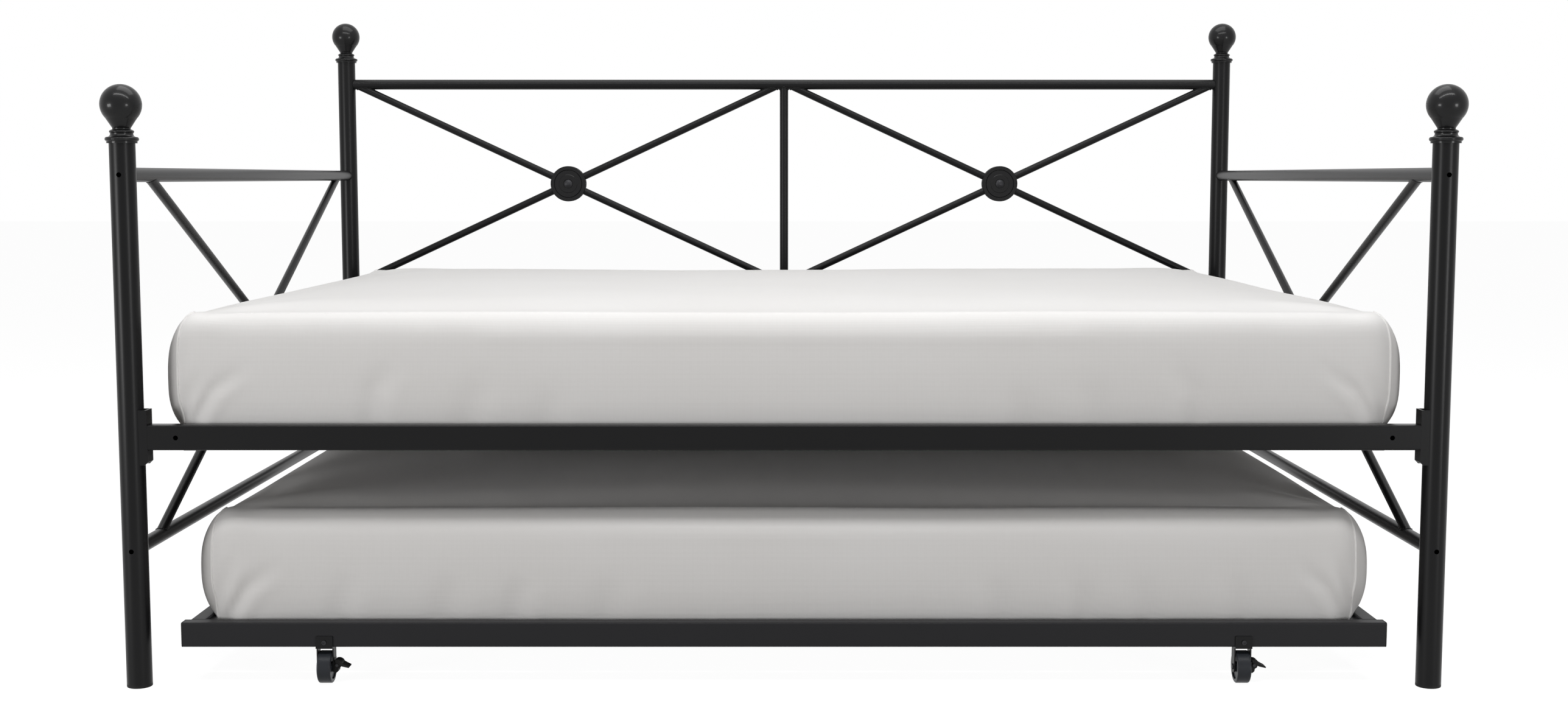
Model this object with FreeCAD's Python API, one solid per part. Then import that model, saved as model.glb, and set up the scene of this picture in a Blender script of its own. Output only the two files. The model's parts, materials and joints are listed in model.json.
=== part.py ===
"""Metal daybed with a pull-out trundle: a tube frame with ball finials and X braces, a slatted deck
with its mattress, and a low slatted frame on four casters that rolls out to the front.

Millimetres. X runs along the bed, Y from front to back, Z up. The origin is on the floor at the
middle of the four posts. Each node is one STEP file in parts/.
"""
import FreeCAD, Part
import math
import os

V = FreeCAD.Vector

# ---- Overall sizes -------------------------------------------------------------------------------
POST_SPACING_X = 1975.0        # between post axes, along the bed
POST_SPACING_Y = 1475.0        # between post axes, front to back
FRONT_TUBE_TOP = 826.7         # top of the front post tubes
BACK_TUBE_TOP = 1033.0         # top of the back post tubes

# ---- Tube stock ----------------------------------------------------------------------------------
POST_DIA = 38.1
POST_WALL = 1.5
RAIL_DIA = 22.2                # arm rails, lower end rails, back rails
BAR_DIA = 19.0                 # upright bar in the middle of the back
BRACE_DIA = 15.9
TUBE_WALL = 1.2                # all the thin round tubes
BOX_HEIGHT = 38.1              # rectangular side rails of the deck and of the trundle
BOX_DEPTH = 25.4
BOX_WALL = 1.5
BOX_CORNER = 3.0

# ---- Clearances ----------------------------------------------------------------------------------
FIT = 0.1                      # a piece that seats on, or slips into, another of the same body
RUNNING = 0.05                 # radial, a pin in a bore that turns on it
SWING = 0.6                    # between a turning piece and what it turns beside

# ---- Frame heights and places --------------------------------------------------------------------
ARM_RAIL_DROP = 46.9           # arm rail centre below the front tube top
LOWER_RAIL_Z = 212.1           # lower end rail centre
BACK_RAIL_DROP = 48.6          # back top rail centre below the back tube top
BACK_LOWER_Z = 538.6           # back bottom rail centre
BRACE_SETBACK = 108.0          # end brace joints, from the post axes
SIDE_RAIL_Z = 385.05           # side rail centre
SIDE_RAIL_STANDOFF = 8.5       # post surface to the side rail's end

# ---- Feet and finials ----------------------------------------------------------------------------
GLIDE_FLANGE = 5.0
GLIDE_EDGE = 1.5
PLUG_LENGTH = 22.0
FINIAL_STEP_R = 22.2
FINIAL_RING_Z = (3.0, 9.4)     # heights above the tube top
FINIAL_RING_R = 24.5
FINIAL_WAIST_R = 16.6
FINIAL_WAIST_Z = 13.0
FINIAL_COVE = (18.2, 10.6)     # a point on the cove under the waist
FINIAL_BEAD_R = 17.9
FINIAL_BEAD_Z = (15.2, 19.2)
FINIAL_NECK_R = 13.2
FINIAL_NECK_BAND = 1.4
FINIAL_NECK_Z = 21.0           # where the ball meets its collar, above the tube top
BALL_R = 30.3
BALL_Z = 57.3                  # ball centre above the tube top
BALL_SEAM_Z = 37.1             # where the lower cone runs into the ball
STUD_DIA = 8.0
STUD_LENGTH = 12.0

# ---- Medallions ----------------------------------------------------------------------------------
MEDALLION_R = 39.8
MEDALLION_RINGS = (31.0, 20.0, 9.0)   # radii of the groove, the step and the rivet's seat
MEDALLION_PLATE = 3.0
MEDALLION_STEP = 0.9
RIVET_DIA = 6.0
RIVET_CROWN = 2.6

# ---- Bolts ---------------------------------------------------------------------------------------
SMALL_BOLT_DIA = 4.0
SMALL_HEAD_DIA = 7.0
SMALL_HEAD_LENGTH = 4.0
ACCESS_HOLE_DIA = 7.5
INSERT_LENGTH = 16.0
CENTRE_BOLT_DIA = 6.0
CENTRE_HEAD_DIA = 10.0
CENTRE_HEAD_LENGTH = 4.0
NUT_DIA = 9.0
NUT_LENGTH = 5.0
SOCKET_DIA = 0.56              # hex socket across, as a share of the bolt's head
SOCKET_DEPTH = 0.6             # and its depth, as a share of the head's length

# ---- Side rail brackets --------------------------------------------------------------------------
BRACKET_HEIGHT = 84.0
BRACKET_PLATE = 2.5
BRACKET_CHAMFER = 5.0
TONGUE_LENGTH = 60.0
TONGUE_WALL = 2.0
TONGUE_CORNER = 2.5
RAIL_BOLT_INSET = 42.6         # side rail bolt, from the rail's end

# ---- Decks ---------------------------------------------------------------------------------------
LEDGE_DEPTH = 22.0
LEDGE_HEIGHT = 10.0
LEDGE_PLATE = 2.0
LEDGE_INSET = 12.0             # ledge end from the rail end
SLAT_WIDTH = 40.0
SLAT_HEIGHT = 9.0
SLAT_CORNER = 3.0
SLAT_END_GAP = 2.0
DECK_SLATS = 13
TRUNDLE_SLATS = 12
RIVET_SHANK_DIA = 4.8
RIVET_HEAD_DIA = 8.0
RIVET_HEAD_LENGTH = 1.5
RIVET_TAIL_DIA = 6.4
RIVET_TAIL_LENGTH = 1.5
RIVET_INSET = 13.2             # slat rivets from the rail's inner face
END_BAR_HEIGHT = 27.0
END_BAR_INSET = 30.0           # end bar centre from the side rail's end
END_BAR_NOTCH = 97.5           # bar end from the post axis plane
END_TAB_HEIGHT = 5.0
END_TAB_GRIP = 40.0            # tab inside the bar
CENTRE_RAIL_DEPTH = 38.1
CENTRE_RAIL_HEIGHT = 19.0
CENTRE_PLUG_LENGTH = 20.0
CENTRE_BOLT_SPARE = 2.0        # plug left past the bolt's end

# ---- Mattresses ----------------------------------------------------------------------------------
MATTRESS_THICKNESS = 197.0
MATTRESS_END_GAP = 28.9        # to the end rails' inner faces
MATTRESS_FRONT_GAP = 1.8       # to the front side rail
MATTRESS_BACK_GAP = 74.8       # to the back side rail
TOP_ROUND = 80.0
BOTTOM_ROUND = 64.0
PLAN_ROUND = 60.0
TRUNDLE_MATTRESS_THICKNESS = 185.0
TRUNDLE_MATTRESS_OVERHANG = 19.6   # past the trundle's end rails' inner faces, each end
TRUNDLE_MATTRESS_GAP = 4.6         # to the trundle's front and back rails
TRUNDLE_BOTTOM_ROUND = 84.0

# ---- Trundle -------------------------------------------------------------------------------------
TRUNDLE_DEPTH = 1016.0         # outer, front to back
TRUNDLE_END_CLEARANCE = 43.85  # rail end to the posts' inner surfaces
TRUNDLE_SETBACK = 8.0          # front face behind the front posts' axes
TRUNDLE_END_INSET = 7.0        # end rails' outer faces from the long rails' ends
END_CAP_FLANGE = 2.0
END_CAP_PLUG = 15.0

# ---- Casters -------------------------------------------------------------------------------------
CASTER_INSET = 219.2           # caster centre from the trundle rail's end
WHEEL_DIA = 50.0
WHEEL_WIDTH = 21.0
WHEEL_EDGE = 2.5
WHEEL_RIM = 6.0
WHEEL_RECESS = 2.0
WHEEL_HUB_R = 8.0
WHEEL_TOP_GAP = 6.3            # wheel top to the bracket plate
AXLE_DIA = 6.0
AXLE_HEAD_DIA = 9.0
AXLE_HEAD_LENGTH = 1.4
CASTER_PLATE = 2.0
CASTER_TAB_HEIGHT = 17.4       # front tab above the rail's bottom
CASTER_TAB_CORNER = 1.5
CASTER_EAR_R = 9.0
CASTER_SCREW_RISE = 7.7        # screw above the rail's bottom
CASTER_SCREW_DIA = 4.0
CASTER_SCREW_HEAD_DIA = 7.0
CASTER_SCREW_HEAD = 1.6
CASTER_SCREW_LENGTH = 12.0

# ---- Brake levers on the front casters -----------------------------------------------------------
BRAKE_BLOCK_DEPTH = 14.0
BRAKE_BLOCK_FOOT = 9.0         # block's lower end below the axle
BRAKE_PIVOT_RISE = 4.0         # pivot above the axle
BRAKE_PIVOT_OUT = 4.8          # pivot outside the ear
BRAKE_PIN_DIA = 3.0
BRAKE_PIN_HEAD_DIA = 4.6
BRAKE_PIN_HEAD_LENGTH = 1.0
BRAKE_BLOCK_R = 6.0
BRAKE_FOOT_SLOPE = 3.0         # rise of the block's sloping lower faces
BRAKE_FOOT_FLAT = 2.0          # lowest point outside the block's inner face
BRAKE_SIDE = (1.0, 2.0)        # outer face past the pivot, low and high
BRAKE_SHOULDER = 4.0           # where the outer face ends, below the pivot
LEVER_PLATE = 2.0
LEVER_START = 115.0            # shell's upper end, degrees round the pivot from +X
LEVER_REACH = 18.3             # tab tip outside the pivot
LEVER_DROP = 2.6               # tab tip below the pivot
LEVER_ROOT = (20.0, -14.0)     # where the tab leaves the shell, above and below, in degrees
LEVER_LAP = 0.2                # tab's root inside the shell's inner face
LEVER_TIP = (0.5, 1.6)         # the tip's lower corner, back and down from the upper one
LEVER_HUB_WALL = 1.6

# ---- Worked out from the sizes above -------------------------------------------------------------
POST_X = POST_SPACING_X / 2
POST_Y = POST_SPACING_Y / 2
POST_R = POST_DIA / 2
POST_BORE_R = POST_R - POST_WALL
ARM_RAIL_Z = FRONT_TUBE_TOP - ARM_RAIL_DROP
BACK_RAIL_Z = BACK_TUBE_TOP - BACK_RAIL_DROP
SIDE_RAIL_END = POST_X - POST_R - SIDE_RAIL_STANDOFF
SIDE_RAIL_BOTTOM = SIDE_RAIL_Z - BOX_HEIGHT / 2
SLAT_BOTTOM = SIDE_RAIL_BOTTOM + LEDGE_PLATE
DECK_TOP = SLAT_BOTTOM + SLAT_HEIGHT
END_BAR_X = SIDE_RAIL_END - END_BAR_INSET
CENTRE_RAIL_Z = SLAT_BOTTOM - CENTRE_RAIL_HEIGHT / 2
TRUNDLE_BOTTOM_Z = WHEEL_DIA + WHEEL_TOP_GAP + CASTER_PLATE
TRUNDLE_END = POST_X - POST_R - TRUNDLE_END_CLEARANCE
TRUNDLE_FRONT = -POST_Y + TRUNDLE_SETBACK
TRUNDLE_BACK = TRUNDLE_FRONT + TRUNDLE_DEPTH
TRUNDLE_SLAT_BOTTOM = TRUNDLE_BOTTOM_Z + LEDGE_PLATE
TRUNDLE_DECK_TOP = TRUNDLE_SLAT_BOTTOM + SLAT_HEIGHT
WHEEL_R = WHEEL_DIA / 2
EAR_INNER = WHEEL_WIDTH / 2 + SWING
EAR_OUTER = EAR_INNER + CASTER_PLATE
CASTER_X = TRUNDLE_END - CASTER_INSET
CASTER_FRONT_Y = TRUNDLE_FRONT + BOX_DEPTH / 2
CASTER_BACK_Y = TRUNDLE_BACK - BOX_DEPTH / 2

ROUND_MIDDLE = 1 - math.sqrt(0.5)     # how far a quarter round's middle lies from its corner, in radii

X = V(1, 0, 0)
Y = V(0, 1, 0)
Z = V(0, 0, 1)
SIDES = (("left", -1), ("right", 1))
ENDS = (("front", -1, FRONT_TUBE_TOP), ("back", 1, BACK_TUBE_TOP))


# ---- Helpers -------------------------------------------------------------------------------------
def save(node, *shapes):
    """Write every solid of the shapes to the node's STEP file."""
    solids = [solid for shape in shapes for solid in shape.Solids]
    Part.makeCompound(solids).exportStep(f"parts/{node}.step")


def rod(start, end, diameter):
    """Solid round bar from start to end."""
    return Part.makeCylinder(diameter / 2, (end - start).Length, start, end - start)


def tube(start, end, diameter, wall=TUBE_WALL):
    return rod(start, end, diameter).cut(rod(start, end, diameter - 2 * wall))


def cope(shape, *members):
    """Cut the shape's ends to the members it meets. A member is (start, end, diameter)."""
    for start, end, diameter in members:
        shape = shape.cut(rod(start, end, diameter + 2 * FIT))
    return shape


def block(low, high):
    return Part.makeBox(high.x - low.x, high.y - low.y, high.z - low.z, low)


def bar(low, high, along, corner):
    """Box with its edges along one axis rounded."""
    solid = block(low, high)
    edges = [edge for edge in solid.Edges if abs(edge.tangentAt(edge.FirstParameter).dot(along)) > 0.9]
    return solid.makeFillet(corner, edges)


def box_tube(low, high, along, corner=BOX_CORNER, wall=BOX_WALL):
    """Rectangular tube between two corners, open at both ends along one axis."""
    shrink = V(wall, wall, wall) - along * wall
    inner = bar(low + shrink, high - shrink, along, corner - wall)
    return bar(low, high, along, corner).cut(inner)


def profile(start, *steps):
    """Closed face in the XZ plane. A step is a point to reach, or (middle, end) for an arc."""
    edges = []
    here = start
    for step in steps:
        arc = isinstance(step[0], tuple)
        end = step[1] if arc else step
        points = [V(x, 0, z) for x, z in ((here, step[0], end) if arc else (here, end))]
        edges.append((Part.Arc(*points) if arc else Part.LineSegment(*points)).toShape())
        here = end
    if here != start:
        edges.append(Part.LineSegment(V(here[0], 0, here[1]), V(start[0], 0, start[1])).toShape())
    return Part.Face(Part.Wire(edges))


def turned(start, *steps):
    """Solid of revolution about Z from a profile of (radius, height)."""
    return profile(start, *steps).revolve(V(0, 0, 0), Z, 360)


def moved(shape, offset):
    copy = shape.copy()
    copy.translate(offset)
    return copy


def rotated(shape, axis, degrees):
    copy = shape.copy()
    copy.rotate(V(0, 0, 0), axis, degrees)
    return copy


# ---- Members that others are cut to --------------------------------------------------------------
def post_member(side, end, top):
    return (V(side * POST_X, end * POST_Y, 0), V(side * POST_X, end * POST_Y, top), POST_DIA)


def end_rail_member(side, height):
    x = side * POST_X
    return (V(x, -POST_Y, height), V(x, POST_Y, height), RAIL_DIA)


def back_rail_member(height):
    return (V(-POST_X, POST_Y, height), V(POST_X, POST_Y, height), RAIL_DIA)


BACK_BAR_MEMBER = (V(0, POST_Y, BACK_LOWER_Z), V(0, POST_Y, BACK_RAIL_Z), BAR_DIA)


# ---- Bolted rail ends ----------------------------------------------------------------------------
def bolted_ends():
    """Every rail end bolted through a post: (point on the post's axis, way into the rail)."""
    found = []
    for _, side in SIDES:
        for _, end, _ in ENDS:
            for height in (ARM_RAIL_Z, LOWER_RAIL_Z):
                found.append((V(side * POST_X, end * POST_Y, height), Y * -end))
        for height in (BACK_RAIL_Z, BACK_LOWER_Z):
            found.append((V(side * POST_X, POST_Y, height), X * -side))
    return found


def bolt_seat():
    """Distance from the post's axis at which a flat head meets the tube's round bore."""
    return math.sqrt(POST_BORE_R ** 2 - (SMALL_HEAD_DIA / 2) ** 2) - RUNNING


def post_holes(point, toward):
    """Access hole on the far side, for the driver, and shank hole on the rail's side."""
    access = Part.makeCylinder(ACCESS_HOLE_DIA / 2, POST_DIA, point, -toward)
    shank = Part.makeCylinder(SMALL_BOLT_DIA / 2 + FIT, POST_DIA, point, toward)
    return access.fuse(shank)


def cap_bolt(seat, toward, length, diameter, head_diameter, head_length):
    """Cap bolt whose head seats at a point; the shank runs on and the head stands back."""
    head = Part.makeCylinder(head_diameter / 2, head_length, seat - toward * head_length, toward)
    shank = Part.makeCylinder(diameter / 2, length, seat, toward)
    socket_depth = head_length * SOCKET_DEPTH
    socket_start = seat - toward * head_length
    socket = Part.makeCylinder(head_diameter * SOCKET_DIA / 2, socket_depth, socket_start, toward)
    return head.fuse(shank).cut(socket)


def rail_bolt(point, toward):
    seat = bolt_seat()
    length = POST_R - seat + INSERT_LENGTH
    return cap_bolt(point + toward * seat, toward, length, SMALL_BOLT_DIA, SMALL_HEAD_DIA,
                    SMALL_HEAD_LENGTH)


def rail_insert(point, toward):
    """Threaded plug in the rail's end, cut to the post like the rail itself."""
    radius = RAIL_DIA / 2 - TUBE_WALL - FIT
    plug = Part.makeCylinder(radius, POST_R + INSERT_LENGTH, point, toward)
    bore = Part.makeCylinder(SMALL_BOLT_DIA / 2 + RUNNING, POST_DIA + INSERT_LENGTH, point, toward)
    post = Part.makeCylinder(POST_R + FIT, 4 * RAIL_DIA, point - Z * 2 * RAIL_DIA, Z)
    return plug.cut(bore).cut(post)


def make_bolted_joints():
    save("rail_end_bolts", *[rail_bolt(*joint) for joint in bolted_ends()])
    save("rail_end_inserts", *[rail_insert(*joint) for joint in bolted_ends()])


# ---- Posts, feet and finials ---------------------------------------------------------------------
def make_posts():
    holes = [(point, post_holes(point, toward)) for point, toward in bolted_ends()]
    for side_name, side in SIDES:
        for end_name, end, top in ENDS:
            foot = V(side * POST_X, end * POST_Y, GLIDE_FLANGE)
            post = tube(foot, foot + Z * (top - GLIDE_FLANGE), POST_DIA, POST_WALL)
            for point, hole in holes:
                if (point - foot).cross(Z).Length < POST_R:
                    post = post.cut(hole)
            save(f"post_{end_name}_{side_name}", post)


def glide():
    """Plastic foot: a flange under the tube and a plug inside it."""
    plug_r = POST_BORE_R - FIT
    foot_r = POST_R - GLIDE_EDGE
    edge = GLIDE_EDGE * ROUND_MIDDLE
    low_arc = ((POST_R - edge, edge), (POST_R, GLIDE_EDGE))
    return turned((0, 0), (foot_r, 0), low_arc, (POST_R, GLIDE_FLANGE), (plug_r, GLIDE_FLANGE),
                  (plug_r, PLUG_LENGTH), (0, PLUG_LENGTH))


def finial_collar():
    """Turned collar: plug in the tube, step, ring, waist, bead and neck; heights from the tube top."""
    plug_r = POST_BORE_R - FIT
    bore_r = STUD_DIA / 2 + FIT
    bore_floor = FINIAL_NECK_Z - STUD_LENGTH - FIT
    ring_low, ring_high = FINIAL_RING_Z
    bead_low, bead_high = FINIAL_BEAD_Z
    ring = ((FINIAL_RING_R, (ring_low + ring_high) / 2), (FINIAL_STEP_R, ring_high))
    cove = (FINIAL_COVE, (FINIAL_WAIST_R, FINIAL_WAIST_Z))
    bead = ((FINIAL_BEAD_R, (bead_low + bead_high) / 2), (FINIAL_WAIST_R, bead_high))
    return turned((0, -PLUG_LENGTH), (plug_r, -PLUG_LENGTH), (plug_r, 0), (FINIAL_STEP_R, 0),
                  (FINIAL_STEP_R, ring_low), ring, cove, (FINIAL_WAIST_R, bead_low), bead,
                  (FINIAL_NECK_R, FINIAL_NECK_Z), (bore_r, FINIAL_NECK_Z), (bore_r, bore_floor),
                  (0, bore_floor))


def finial_ball():
    """Ball on a short cone, with the stud that screws into the collar."""
    seam_r = math.sqrt(BALL_R ** 2 - (BALL_Z - BALL_SEAM_Z) ** 2)
    neck_z = FINIAL_NECK_Z + FIT
    stud_r = STUD_DIA / 2
    return turned((0, FINIAL_NECK_Z - STUD_LENGTH), (stud_r, FINIAL_NECK_Z - STUD_LENGTH),
                  (stud_r, neck_z), (FINIAL_NECK_R, neck_z), (FINIAL_NECK_R, neck_z + FINIAL_NECK_BAND),
                  (seam_r, BALL_SEAM_Z), ((BALL_R, BALL_Z), (0, BALL_Z + BALL_R)))


def make_feet_and_finials():
    feet = []
    for side_name, side in SIDES:
        for end_name, end, top in ENDS:
            foot = V(side * POST_X, end * POST_Y, 0)
            feet.append(moved(glide(), foot))
            save(f"finial_{end_name}_{side_name}", moved(finial_collar(), foot + Z * top),
                 moved(finial_ball(), foot + Z * top))
    save("post_glides", *feet)


# ---- End frames ----------------------------------------------------------------------------------
def crossing_pair(corners, diameter, members):
    """Two crossed braces between opposite corners: one whole, one in two halves cut to it."""
    (a, b), (c, d) = corners
    whole = cope(tube(a, b, diameter), *members)
    halves = cope(tube(c, d, diameter), (a, b, diameter), *members)
    return whole, halves


def make_end_frames():
    for name, side in SIDES:
        x = side * POST_X
        posts = [post_member(side, end, top) for _, end, top in ENDS]
        for rail, height in (("arm_rail", ARM_RAIL_Z), ("lower_end_rail", LOWER_RAIL_Z)):
            start, end, diameter = end_rail_member(side, height)
            save(f"{rail}_{name}", cope(tube(start, end, diameter), *posts))
        reach = POST_Y - BRACE_SETBACK
        rising = (V(x, -reach, LOWER_RAIL_Z), V(x, reach, ARM_RAIL_Z))
        falling = (V(x, -reach, ARM_RAIL_Z), V(x, reach, LOWER_RAIL_Z))
        rails = [end_rail_member(side, height) for height in (ARM_RAIL_Z, LOWER_RAIL_Z)]
        whole, halves = crossing_pair((falling, rising), BRACE_DIA, rails)
        save(f"end_braces_{name}", whole, halves)


# ---- Back panel ----------------------------------------------------------------------------------
def make_back_rails():
    posts = [post_member(side, 1, BACK_TUBE_TOP) for _, side in SIDES]
    for name, height in (("back_top_rail", BACK_RAIL_Z), ("back_bottom_rail", BACK_LOWER_Z)):
        start, end, diameter = back_rail_member(height)
        save(name, cope(tube(start, end, diameter), *posts))
    rails = [back_rail_member(height) for height in (BACK_RAIL_Z, BACK_LOWER_Z)]
    save("back_centre_bar", cope(tube(*BACK_BAR_MEMBER), *rails))


def medallion_shell():
    """Turned disc with shallow rings and a bore for its rivet, base at Z = 0."""
    outer, middle, inner = MEDALLION_RINGS
    rim_z = MEDALLION_PLATE
    step = MEDALLION_STEP
    bore_r = RIVET_DIA / 2 + FIT
    return turned((bore_r, 0), (MEDALLION_R, 0), (MEDALLION_R, rim_z - step),
                  (MEDALLION_R - step, rim_z), (outer + step, rim_z), (outer, rim_z - step), (outer - step, rim_z),
                  (middle + step, rim_z), (middle, rim_z + step), (inner + 2 * step, rim_z + step),
                  (inner + step, rim_z), (inner, rim_z), (bore_r, rim_z))


def medallion_rivet():
    """Rivet with a low dome at each end, through both shells and the crossing; middle at Z = 0."""
    grip = BRACE_DIA / 2 + 2 * FIT + MEDALLION_PLATE
    shank_r = RIVET_DIA / 2
    head_r = MEDALLION_RINGS[-1] - FIT
    crown = grip + RIVET_CROWN
    sphere_r = (head_r ** 2 + RIVET_CROWN ** 2) / (2 * RIVET_CROWN)
    half_angle = math.asin(head_r / sphere_r) / 2
    across = sphere_r * math.sin(half_angle)
    along = crown - sphere_r * (1 - math.cos(half_angle))
    return turned((0, -crown), ((across, -along), (head_r, -grip)), (shank_r, -grip),
                  (shank_r, grip), (head_r, grip), ((across, along), (0, crown)))


def make_back_panels():
    rails = [back_rail_member(height) for height in (BACK_RAIL_Z, BACK_LOWER_Z)]
    inner = BAR_DIA / 2
    outer = POST_X - POST_R
    middle_z = (BACK_RAIL_Z + BACK_LOWER_Z) / 2
    face = BRACE_DIA / 2 + FIT
    rivets = []
    for name, side in SIDES:
        rising = (V(side * inner, POST_Y, BACK_LOWER_Z), V(side * outer, POST_Y, BACK_RAIL_Z))
        falling = (V(side * inner, POST_Y, BACK_RAIL_Z), V(side * outer, POST_Y, BACK_LOWER_Z))
        members = rails + [BACK_BAR_MEMBER, post_member(side, 1, BACK_TUBE_TOP)]
        middle = V(side * (inner + outer) / 2, POST_Y, middle_z)
        bore = Part.makeCylinder(RIVET_DIA / 2 + FIT, 2 * BRACE_DIA, middle - Y * BRACE_DIA, Y)
        whole, halves = crossing_pair((rising, falling), BRACE_DIA, members)
        save(f"back_braces_{name}", whole.cut(bore), halves.cut(bore))
        front = rotated(medallion_shell(), X, 90)
        back = rotated(medallion_shell(), X, -90)
        save(f"medallion_{name}", moved(front, middle - Y * face), moved(back, middle + Y * face))
        rivets.append(moved(rotated(medallion_rivet(), X, 90), middle))
    save("medallion_rivets", *rivets)


# ---- Side rails and their brackets ---------------------------------------------------------------
def make_side_rails():
    half = BOX_DEPTH / 2
    for name, end, _ in ENDS:
        y = end * POST_Y
        rail = box_tube(V(-SIDE_RAIL_END, y - half, SIDE_RAIL_Z - BOX_HEIGHT / 2),
                        V(SIDE_RAIL_END, y + half, SIDE_RAIL_Z + BOX_HEIGHT / 2), X)
        for _, side in SIDES:
            centre = V(side * (SIDE_RAIL_END - RAIL_BOLT_INSET), y, SIDE_RAIL_Z)
            access = Part.makeCylinder(ACCESS_HOLE_DIA / 2, BOX_DEPTH, centre, Y * end)
            shank = Part.makeCylinder(SMALL_BOLT_DIA / 2 + FIT, BOX_DEPTH, centre, Y * -end)
            rail = rail.cut(access).cut(shank)
        save(f"side_rail_{name}", rail)


def rail_bracket():
    """Bracket for a right-hand rail end, about the post's axis: the rail lies towards -X.

    A U channel stands on the post, open to it, and its tongue slips into the side rail."""
    half = BOX_DEPTH / 2
    web_x = -POST_R - SIDE_RAIL_STANDOFF + FIT
    low = SIDE_RAIL_Z - BRACKET_HEIGHT / 2
    high = SIDE_RAIL_Z + BRACKET_HEIGHT / 2
    channel = block(V(web_x, -half, low), V(0, half, high))
    hollow = block(V(web_x + BRACKET_PLATE, BRACKET_PLATE - half, low),
                   V(0, half - BRACKET_PLATE, high))
    channel = channel.cut(hollow)
    channel = channel.cut(Part.makeCylinder(POST_R + FIT, high, V(0, 0, 0), Z))
    corner = profile((web_x, low), (web_x + BRACKET_CHAMFER, low), (web_x, low + BRACKET_CHAMFER))
    channel = channel.cut(moved(corner.extrude(Y * BOX_DEPTH), Y * -half))
    slip = BOX_WALL + FIT
    tongue_low = V(web_x - TONGUE_LENGTH, slip - half, SIDE_RAIL_Z - BOX_HEIGHT / 2 + slip)
    tongue_high = V(web_x + BRACKET_PLATE / 2, half - slip, SIDE_RAIL_Z + BOX_HEIGHT / 2 - slip)
    tongue = box_tube(tongue_low, tongue_high, X, TONGUE_CORNER, TONGUE_WALL)
    return channel.fuse(tongue)


def bracket_holes():
    """Driver's access hole through the tongue's outer wall, shank hole through the inner one."""
    centre = V(-POST_R - SIDE_RAIL_STANDOFF - RAIL_BOLT_INSET, 0, SIDE_RAIL_Z)
    access = Part.makeCylinder(ACCESS_HOLE_DIA / 2, BOX_DEPTH, centre, -Y)
    shank = Part.makeCylinder(SMALL_BOLT_DIA / 2 + FIT, BOX_DEPTH, centre, Y)
    return access.fuse(shank)


def rail_lock():
    """Bolt on the tongue's inner wall, and the nut behind the side rail's inner wall."""
    half = BOX_DEPTH / 2
    centre = V(-POST_R - SIDE_RAIL_STANDOFF - RAIL_BOLT_INSET, 0, SIDE_RAIL_Z)
    seat = half - BOX_WALL - FIT - TONGUE_WALL
    bolt = cap_bolt(centre + Y * seat, Y, half - seat + NUT_LENGTH, SMALL_BOLT_DIA, SMALL_HEAD_DIA,
                    SMALL_HEAD_LENGTH)
    nut = Part.makeCylinder(NUT_DIA / 2, NUT_LENGTH, centre + Y * half, Y)
    bore = Part.makeCylinder(SMALL_BOLT_DIA / 2 + RUNNING, NUT_LENGTH, centre + Y * half, Y)
    return bolt, nut.cut(bore)


def make_rail_brackets():
    """The front right bracket and its bolt, mirrored to the other three corners."""
    bolt, nut = rail_lock()
    bracket = rail_bracket().cut(bracket_holes())
    groups = {"rail_brackets": bracket, "side_rail_bolts": bolt, "side_rail_nuts": nut}
    for node, solid in groups.items():
        placed = []
        for _, side in SIDES:
            for _, end, _ in ENDS:
                copy = solid if side > 0 else solid.mirror(V(0, 0, 0), X)
                copy = copy if end < 0 else copy.mirror(V(0, 0, 0), Y)
                placed.append(moved(copy, V(side * POST_X, end * POST_Y, 0)))
        save(node, *placed)


# ---- Slatted decks -------------------------------------------------------------------------------
def ledge(half_length, face_y, inward, bottom):
    """Angle strip along a rail's inner face that carries the slat ends."""
    def strip(depth, height):
        near, far = sorted((face_y, face_y + inward * depth))
        return block(V(-half_length, near, bottom), V(half_length, far, bottom + height))
    return strip(LEDGE_DEPTH, LEDGE_PLATE).fuse(strip(LEDGE_PLATE, LEDGE_HEIGHT))


def slat_centres(count, end_bar_x):
    """Slats spaced evenly between the two bars, or rails, across the deck's ends."""
    pitch = 2 * end_bar_x / (count + 1)
    return [(i - (count - 1) / 2) * pitch for i in range(count)]


def slat_rivet(x, y, bottom):
    """Blind rivet up through the ledge and the slat's lower wall."""
    foot = V(x, y, bottom - LEDGE_PLATE - RIVET_HEAD_LENGTH)
    head = Part.makeCylinder(RIVET_HEAD_DIA / 2, RIVET_HEAD_LENGTH, foot)
    grip = LEDGE_PLATE + TUBE_WALL + FIT
    shank = Part.makeCylinder(RIVET_SHANK_DIA / 2, RIVET_HEAD_LENGTH + grip, foot)
    tail_foot = foot + Z * (RIVET_HEAD_LENGTH + grip)
    tail = Part.makeCylinder(RIVET_TAIL_DIA / 2, RIVET_TAIL_LENGTH, tail_foot)
    return head.fuse(shank).fuse(tail)


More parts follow.
